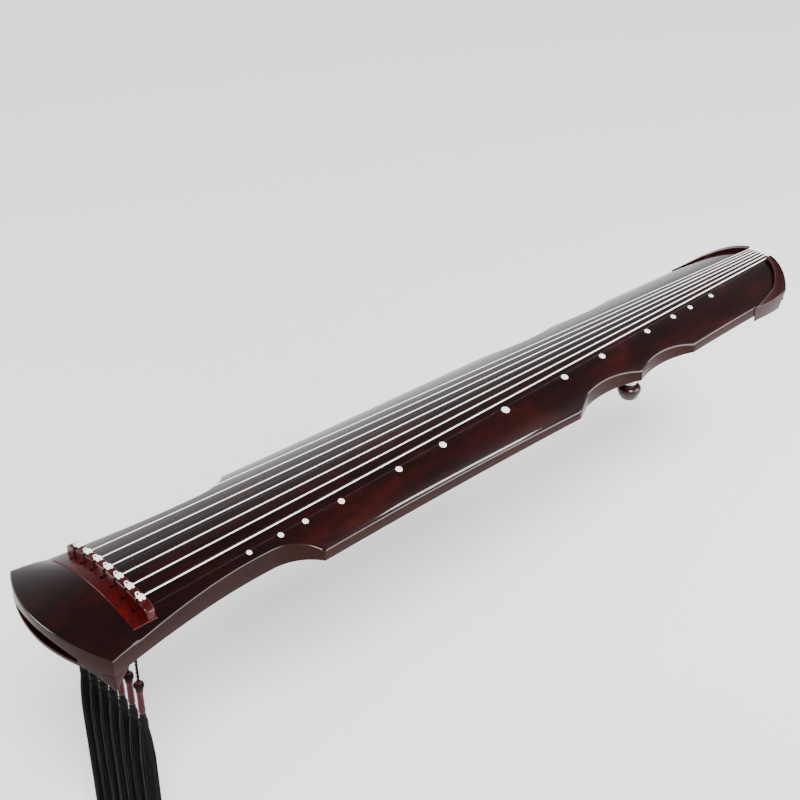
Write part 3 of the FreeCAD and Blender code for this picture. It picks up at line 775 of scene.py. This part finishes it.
def hollow_cutter():
    """The sound box under the soundboard, reaching down past the seam."""
    wall = 11
    lowest_roof = 9.3
    plan = [(68, 67), (160, 60), (236, 84), (636, 80), (702, 63), (850, 63), (906, 72),
            (1010, 64)]
    far = path_points(list(zip(plan, plan[1:])), 8)
    points, faces = slab(mirror(far), far, lambda x, y: max(crown(x, y, -wall), lowest_roof),
                         lambda x, y: SEAM_HEIGHT - 1, top_round=0, low_round=0, across=36,
                         steps=1)
    return cutter("hollow", points, faces)


def make_soundboard():
    near, far = body_edges()
    points, faces = slab(near, far, crown, lambda x, y: SEAM_HEIGHT,
                         top_round=2.2, low_round=0, across=44)
    board = new_piece("soundboard_lacquered", points, faces, LACQUER, "lacquer")
    carve(board, hollow_cutter(), mouth_cutter("mouth_above"), bore_cutter("bores_above"))
    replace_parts(board, "soundboard")


def pool_cutter(name, centre, length):
    """A sound hole with half-round ends."""
    half = 12.5
    reach = length / 2 - half
    ends = [(centre + reach + half * math.sin(a), -half * math.cos(a))
            for a in angles(20, math.pi)]
    ends += [(2 * centre - x, -y) for x, y in ends]
    start, end = ([at(x, y, z) for x, y in ends] for z in (-3, 12))
    return cutter(name, *prism(start, end))


def make_bottom_board():
    near, far = body_edges()
    points, faces = slab(near, far, lambda x, y: SEAM_HEIGHT, lambda x, y: 0.0,
                         top_round=0, low_round=0.4, across=6)
    board = new_piece("bottom_board_lacquered", points, faces, LACQUER, "lacquer")
    carve(board, pool_cutter("long_pool", 415, 205), pool_cutter("short_pool", 945, 105),
          mouth_cutter("mouth_below"), bore_cutter("bores_below"))
    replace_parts(board, "bottom_board")


def make_guard(side, end):
    """Pointed foot under a head corner."""
    start, back = 74.0, -50.0
    rows = 39
    front_line = arc_points((start, -0.4), (90, -8), (104, -19.5), 24)
    flank_line = arc_points((-back, -0.4), (60, -8), (71, -19.5), 24)

    def fall(line, reach):
        """Height of a curved underside, that far out along it."""
        for (one, high), (two, lower) in zip(line, line[1:]):
            if reach < two:
                return high + (lower - high) * max(0.0, reach - one) / (two - one)
        return line[-1][1]

    def low(x, y):
        return max(fall(front_line, abs(y)), fall(flank_line, -x))

    front = arc_points(*FRONT, 120)
    edge = path_points([OUTLINE[0]], 0.5)
    ahead, behind = [], []
    for k in range(rows + 1):
        y = start + (HEAD_CORNER - 0.4 - start) * k / rows
        ahead.append((min(front, key=lambda p: abs(p[1] - y))[0], y))
        reach = [x for x, half in edge if half >= y]
        behind.append((min(back, max(reach)), y))
    if side < 0:
        ahead, behind = mirror(behind), mirror(ahead)
    points, faces = slab(behind, ahead, lambda x, y: 0.0, low,
                         top_round=0, low_round=0.5, across=14)
    guard = new_piece(f"guard_lacquered_{end}", points, faces, LACQUER, "lacquer")
    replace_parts(guard, f"peg_guard_{end}")


make_soundboard()
make_bottom_board()
for side, end in SIDES:
    make_guard(side, end)


# ---------------------------------------------------------------- head fittings
def rows_along(values, left, right):
    """Two plan edges of a piece that lies across the body, from its -Y end to its +Y end."""
    return [(right(y), y) for y in values], [(left(y), y) for y in values]


def spread(half, count):
    """Places from -half to half, in that many steps."""
    return [half * (2 * k / count - 1) for k in range(count + 1)]


def make_inlay_plate():
    near, far = rows_along(spread(PLATE_HALF, 60), lambda y: -PLATE_DEPTH, lambda y: 1.0)
    points, faces = slab(near, far, lambda x, y: crown(x, y, PLATE_RISE),
                         lambda x, y: crown(x, y, -2), top_round=0.7, low_round=0, across=10)
    plate = new_piece("inlay_plate_wood", points, faces, ROSEWOOD, "rosewood")
    carve(plate, bore_cutter("bores_plate"))
    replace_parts(plate, "inlay_plate")


def make_bridge():
    groove = 2.4
    end_radius = 3.5

    def head_side(y):
        """Head face with a round notch at each cord."""
        gap = min(abs(y - string_y(n)) for n in STRINGS)
        notch = math.sqrt(groove ** 2 - gap * gap) if gap < groove else 0.0
        return -BRIDGE_DEPTH + notch + end_round(y)

    def end_round(y):
        """How far the two long faces curve in at the bridge's ends."""
        over = abs(y) - (BRIDGE_HALF - end_radius)
        return end_radius - math.sqrt(end_radius ** 2 - over * over) if over > 0 else 0.0

    near, far = rows_along(spread(BRIDGE_HALF, 440), head_side, lambda y: -end_round(y))
    points, faces = slab(near, far, lambda x, y: bridge_z(y),
                         lambda x, y: crown(x, y, PLATE_RISE),
                         top_round=1.6, low_round=0, across=5)
    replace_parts(new_piece("bridge_wood", points, faces, ROSEWOOD, "rosewood"), "bridge")


def make_peg_plate():
    near, far = rows_along(spread(74, 30), lambda y: -42.0, lambda y: 4.0)
    points, faces = slab(near, far, lambda x, y: 4.0, lambda x, y: -1.0,
                         top_round=0, low_round=0.8, across=10)
    plate = new_piece("peg_plate_wood", points, faces, TRIM_WOOD, "rosewood")
    carve(plate, bore_cutter("bores_under"))
    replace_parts(plate, "peg_plate")


def make_silk_loops():
    """Two silk strands over the bridge and down each cord hole."""
    parts = []
    for number in STRINGS:
        y = string_y(number)
        over = bridge_z(y) + 0.9
        plate_top = crown(CORD_TOP_X, y, PLATE_RISE)
        route = [(-8.2, over), (-9.4, over), (-10.5, over - 1.2), (-10.7, over - 4),
                 (-11.2, plate_top + 2.6), (-13.6, plate_top + 0.4), (-14.8, plate_top - 4),
                 (bore_x(28), 28), (bore_x(10), 10), (CORD_X, -1)]
        path = spline_points([at(x, y, z) for x, z in route], 10)
        parts.append(twisted(path, strands=2, offset=0.0005, radius=0.00062, pitch=0.0055))
    loops = new_piece("silk_loop_strands", *gather(parts), BLACK_SILK, "black_silk")
    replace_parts(loops, "silk_loops")


def make_knots():
    """Fly-head knots: an eye on the far side, four lobes, a wound middle and a lead."""
    knot_x = -6.4
    chance = random.Random(5)
    parts = []
    for number in STRINGS:
        y = string_y(number)
        base = bridge_z(y) + 0.2
        fall = -y / BRIDGE_RADIUS
        lean = chance.uniform(-0.25, 0.25)

        def spot(dx, dy, dz):
            """Point of the knot in the row frame, turned with its lean and down the bridge."""
            across, along = dx + lean * dy * 0.4, dy - lean * dx * 0.4
            return at(knot_x + across, y + along, base + dz + fall * along)

        def ring(dx, dy, wide, long, high, rise, thick):
            """Closed loop of cord lying on the bridge, its far end raised."""
            loop = [spot(dx + wide * math.cos(a), dy + long * math.sin(a),
                         high + rise * math.sin(a)) for a in angles(22)]
            parts.append(tube(loop, thick, 8, closed=True))

        ring(-0.2, 4.4, wide=2.1, long=2.2, high=2.0, rise=0.5, thick=0.0007)
        for dx, dy in ((-2.5, 0.4), (2.6, 0.1), (-2.0, -4.1), (2.2, -4.3)):
            ring(dx, dy, wide=1.2, long=1.3, high=2.2, rise=0.3, thick=0.00078)
        for dy, tilt in ((0.9, 0.7), (-0.9, -0.7), (-2.4, 0.5)):
            wrap = [spot(1.5 * math.cos(a), dy + tilt * math.cos(a), 2.2 + 1.3 * math.sin(a))
                    for a in angles(20)]
            parts.append(tube(wrap, 0.0008, 8, closed=True))
        lead = [spot(dx, 0.0, 1.0) for dx in (0, 2, 4.2)]
        parts.append(tube(lead, 0.00095, 8))
    knots = new_piece("fly_head_knot_silk", *gather(parts), WHITE_SILK, "string")
    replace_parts(knots, "fly_head_knots")


make_inlay_plate()
make_bridge()
make_peg_plate()
make_silk_loops()
make_knots()


# ---------------------------------------------------------------- pearl studs
STATIONS = [1 / 8, 1 / 6, 1 / 5, 1 / 4, 1 / 3, 2 / 5, 1 / 2,
            3 / 5, 2 / 3, 3 / 4, 4 / 5, 5 / 6, 7 / 8]
OUTER_DIAMETERS = [7.0, 7.4, 7.8, 8.4, 9.0, 9.6]
STUD_DIAMETERS = [*OUTER_DIAMETERS, 11.0, *reversed(OUTER_DIAMETERS)]
STUD_OFFSET = 68.0    # from the centre line, at the bridge
STUD_DRIFT = 41.0     # and how much nearer to it at the nut


def make_studs():
    """Low domed shell discs let into the lacquer, square to the arch."""
    parts = []
    for station, diameter in zip(STATIONS, STUD_DIAMETERS):
        x = station * STRING_LENGTH
        y = -(STUD_OFFSET - STUD_DRIFT * station)
        lean = math.asin(y / crown_radius(x))
        half = diameter / 2
        dome = [(half, -0.8), (half, 0.10), (half - 0.25, 0.28), (half * 0.75, 0.42),
                (half * 0.4, 0.52), (POLE, 0.56)]
        points, faces = lathe(dome, (0, 0, 0), 40)
        turn = Matrix.Rotation(-lean, 4, "X")
        centre = at(0, 0, 0)
        foot = at(x, y, crown(x, y))
        parts.append(([turn @ (p - centre) + foot for p in points], faces))
    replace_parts(new_piece("pearl_stud_discs", *gather(parts), PEARL, "pearl"), "pearl_studs")


make_studs()


# ---------------------------------------------------------------- tail fittings
def extruded(profile, half, drop, name, node):
    """A piece of constant x-z profile across the tail, its top lowered by drop(y)."""
    rows = spread(half, 24)
    top_from = 20
    points = [at(x, y, z - (drop(y) if z > top_from else 0)) for y in rows for x, z in profile]
    count = len(profile)
    faces = [tuple(range(count)), tuple(range(len(points) - count, len(points)))]
    for row in range(len(rows) - 1):
        for k in range(count):
            a, b = row * count + k, row * count + (k + 1) % count
            faces.append((a, b, b + count, a + count))
    piece = new_piece(name, points, faces, TRIM_WOOD, "rosewood", sharp=28)
    bevel = piece.modifiers.new("soft_edges", "BEVEL")
    bevel.width = 0.0004
    bevel.segments = 2
    bevel.limit_method = "ANGLE"
    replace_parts(piece, node)


def quarter(centre, radius, start):
    """Points of a rounded corner in an x-z profile, turning clockwise."""
    return [(centre[0] + radius * math.cos(start - a), centre[1] + radius * math.sin(start - a))
            for a in angles(8, math.pi / 2)]


def make_nut():
    nut_arch = 98
    rear = quarter((BODY_END - TRIM_ROUND, NUT_TOP - TRIM_ROUND), TRIM_ROUND, math.pi / 2)
    profile = [(STRING_LENGTH, 24), (STRING_LENGTH, NUT_TOP - 0.5), (STRING_LENGTH + 0.5, NUT_TOP),
               *rear, (BODY_END, 24)]
    extruded(profile, TRIM_HALF, lambda y: NUT_TOP - arch_z(NUT_TOP, nut_arch, y),
             "tail_nut_wood", "tail_nut")


def make_under_trim():
    rear = quarter((BODY_END - TRIM_ROUND, -TRIM_ROUND), TRIM_ROUND, 0)
    profile = [(1096, 0), (BODY_END, 0), *rear, (1100, -8)]
    extruded(profile, TRIM_HALF, lambda y: 0, "under_trim_wood", "under_trim")


def corner_cutter(side):
    """Block whose face slants in under the tail's outer corner."""
    face = Vector((0.72, side * 0.69, -0.47)).normalized()
    along = face.orthogonal().normalized()
    across = face.cross(along)
    foot = at(1107, side * 76.5, 18)
    size = 0.06
    square = [foot + along * a + across * b
              for a, b in ((-size, -size), (size, -size), (size, size), (-size, size))]
    return cutter("corner", *prism(square, [point + face * size for point in square]))


def evenly(path, count):
    """Points that part the path into that many equal lengths."""
    lengths = [0.0]
    for a, b in zip(path, path[1:]):
        lengths.append(lengths[-1] + math.dist(a, b))
    found = []
    for k in range(count + 1):
        goal = lengths[-1] * k / count
        spot = max(i for i, gone in enumerate(lengths) if gone <= goal + 1e-9)
        after = min(spot + 1, len(path) - 1)
        room = lengths[after] - lengths[spot]
        part = (goal - lengths[spot]) / room if room > 0 else 0
        found.append(tuple(Vector(path[spot]).lerp(Vector(path[after]), part)))
    return found


def make_tail_trim(side, end):
    """Curved corner trim: raised above the lacquer, with a lip along its inner edge."""
    inner = path_points([((1033, 78.2), (1062, 72.3), (1086, 66)),
                         ((1086, 66), (1110, 49.5), (1129, 19.6))], 2)
    outer = path_points([((1033.4, 78.6), (1039, 79.2), (1105.2, 76.7)),
                         ((1105.2, 76.7), (1128.5, 50.5), (1139, 19.6))], 1)
    paired = evenly(outer, len(inner) - 1)
    near, far = (mirror(paired), mirror(inner)) if side < 0 else (inner, paired)

    def top(x, y):
        """Raised lip along the inner edge, then a shallow hollow band."""
        away = min(math.dist((x, abs(y)), spot) for spot in inner)
        lip = 0.9 * math.exp(-(away / 1.7) ** 2) - 0.35 * math.exp(-((away - 7) / 4) ** 2)
        return crown(x, y, 0.045 * (x - 1015) + lip)

    points, faces = slab(near, far, top, lambda x, y: -8.0,
                         top_round=1.0, low_round=1.4, across=26)
    trim = new_piece(f"tail_trim_wood_{end}", points, faces, TRIM_WOOD, "rosewood")
    carve(trim, corner_cutter(side))
    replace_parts(trim, f"tail_trim_{end}")


make_nut()
make_under_trim()
for side, end in SIDES:
    make_tail_trim(side, end)


# ---------------------------------------------------------------- goose feet and pegs
def make_goose_foot(side, end):
    """Turned foot with a deep neck for the strings."""
    centre = (787, side * 63, 0)
    profile = smooth_profile([(POLE, -0.05), (13, -0.05), (15, -1.5), (15, -3), (8.4, -4.5),
                              (8.4, -15.5), (13, -17), (16, -20), (16.5, -24), (14.5, -30),
                              (12, -35), (11, -FOOT_HEIGHT), (POLE, -FOOT_HEIGHT)])
    foot = new_piece(f"goose_foot_turned_{end}", *lathe(profile, centre), TRIM_WOOD, "rosewood")
    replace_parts(foot, f"goose_foot_{end}")


def make_peg(number):
    """Turned peg with a hollow lower end, and two layers of silk wound round its neck."""
    body = PEG_BODIES[number - 1]
    grip = 4.2
    low = -PEG_LENGTH
    profile = smooth_profile([(POLE, 0), (2.6, 0), (3.6, -1.5), (3.6, -10), (4.6, -11.5),
                              (4.7, -13.5), (grip, -15), (grip - 0.4, -19), (grip - 0.3, -30),
                              (grip, low + 3), (grip - 0.8, low), (grip - 1.9, low),
                              (grip - 2.2, low + 1.4), (POLE, low + 1.6)], 0.3, 3)
    centre = (CORD_X, string_y(number), PEG_TOP)
    peg = new_piece(f"peg_turned_{number}", *lathe(profile, centre, 40), PEG_WOOD, "peg_wood",
                    body)
    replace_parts(peg, f"peg_{number}")
    chance = random.Random(7 + number)
    tilt = chance.uniform(-0.5, 0.5)
    turn_steps = 24
    layers = []
    for wide, first, drop, turns in ((4.45, 2.0, 7.2, 7), (5.5, 3.2, 4.0, 4)):
        steps = turns * turn_steps
        wound = []
        for k in range(steps + 1):
            angle = 2 * math.pi * k / turn_steps
            wound.append(at(centre[0] + wide * math.cos(angle),
                            centre[1] + wide * math.sin(angle),
                            PEG_TOP - first - drop * k / steps + tilt * math.sin(angle)))
        layers.append(tube(wound, 0.00075, 8))
    new_piece(f"peg_silk_turns_{number}", *gather(layers), BLACK_SILK, "black_silk", body)


for side, end in SIDES:
    make_goose_foot(side, end)
for n in STRINGS:
    make_peg(n)


# ---------------------------------------------------------------- CAD nodes that stay
HIDDEN_WOOD = ("foot_block_near", "foot_block_far", "heaven_post", "earth_post")
KEPT = dict.fromkeys(HIDDEN_WOOD, INNER_WOOD) | {f"string_{n}": WINDING for n in STRINGS}
for node, material in KEPT.items():
    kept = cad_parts[node]
    kept.data.materials.clear()
    kept.data.materials.append(material)
    kept.data.shade_smooth()


# ---------------------------------------------------------------- floor and light
def make_stage():
    floor_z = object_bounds()[0].z - 0.002
    mesh = bpy.data.meshes.new("floor")
    half = 12
    corners = ((-half, -half), (half, -half), (half, half), (-half, half))
    mesh.from_pydata([(x, y, floor_z) for x, y in corners], [], [(0, 1, 2, 3)])
    floor = add_object("floor", mesh)
    pale = Shader("pale_floor", Base_Color=(0.87, 0.87, 0.87, 1), Roughness=0.9,
                  Specular_IOR_Level=0.1)
    mesh.materials.append(pale.material)


def area_light(name, place, target, size, power):
    lamp = add_object(name, bpy.data.lights.new(name, "AREA"))
    lamp.data.shape = "RECTANGLE"
    lamp.data.size, lamp.data.size_y = size
    lamp.data.energy = power
    lamp.location = place
    aim = Vector(target) - Vector(place)
    lamp.rotation_euler = aim.to_track_quat("-Z", "Y").to_euler()


def make_world():
    """Studio surroundings, pale at the horizon and dark overhead."""
    world = bpy.data.worlds.new("studio")
    bpy.context.scene.world = world
    world.use_nodes = True
    nodes, links = world.node_tree.nodes, world.node_tree.links
    place = nodes.new("ShaderNodeTexCoord")
    split = nodes.new("ShaderNodeSeparateXYZ")
    ramp = nodes.new("ShaderNodeValToRGB")
    links.new(place.outputs["Generated"], split.inputs[0])
    links.new(split.outputs["Z"], ramp.inputs["Fac"])
    links.new(ramp.outputs["Color"], nodes["Background"].inputs["Color"])
    marks = ramp.color_ramp.elements
    marks[0].position, marks[0].color = 0.0, (0.9, 0.9, 0.9, 1)
    marks[1].position, marks[1].color = 0.75, (0.08, 0.08, 0.085, 1)
    middle = marks.new(0.3)
    middle.color = (0.52, 0.52, 0.54, 1)
    nodes["Background"].inputs["Strength"].default_value = 1.9


def make_lamps():
    """A broad sun, and panels that give the lacquer its reflections."""
    sun = add_object("sun", bpy.data.lights.new("sun", "SUN"))
    sun.data.energy = 5.2
    sun.data.angle = math.radians(22)
    sun.rotation_euler = Vector((0.25, 0.55, -0.8)).to_track_quat("-Z", "Y").to_euler()
    area_light("edge_light", place=(1.26, -1.75, 1.04), target=(0, 0, 0), size=(2.2, 1.2),
               power=90)
    area_light("streak_light", place=(1.43, -0.61, 2.09), target=(0.05, -0.09, 0.07),
               size=(0.15, 0.5), power=10)
    area_light("head_light", place=(-1.75, 1.4, 1.2), target=(-0.5, 0, 0), size=(0.8, 0.6),
               power=34)


make_stage()
make_world()
make_lamps()
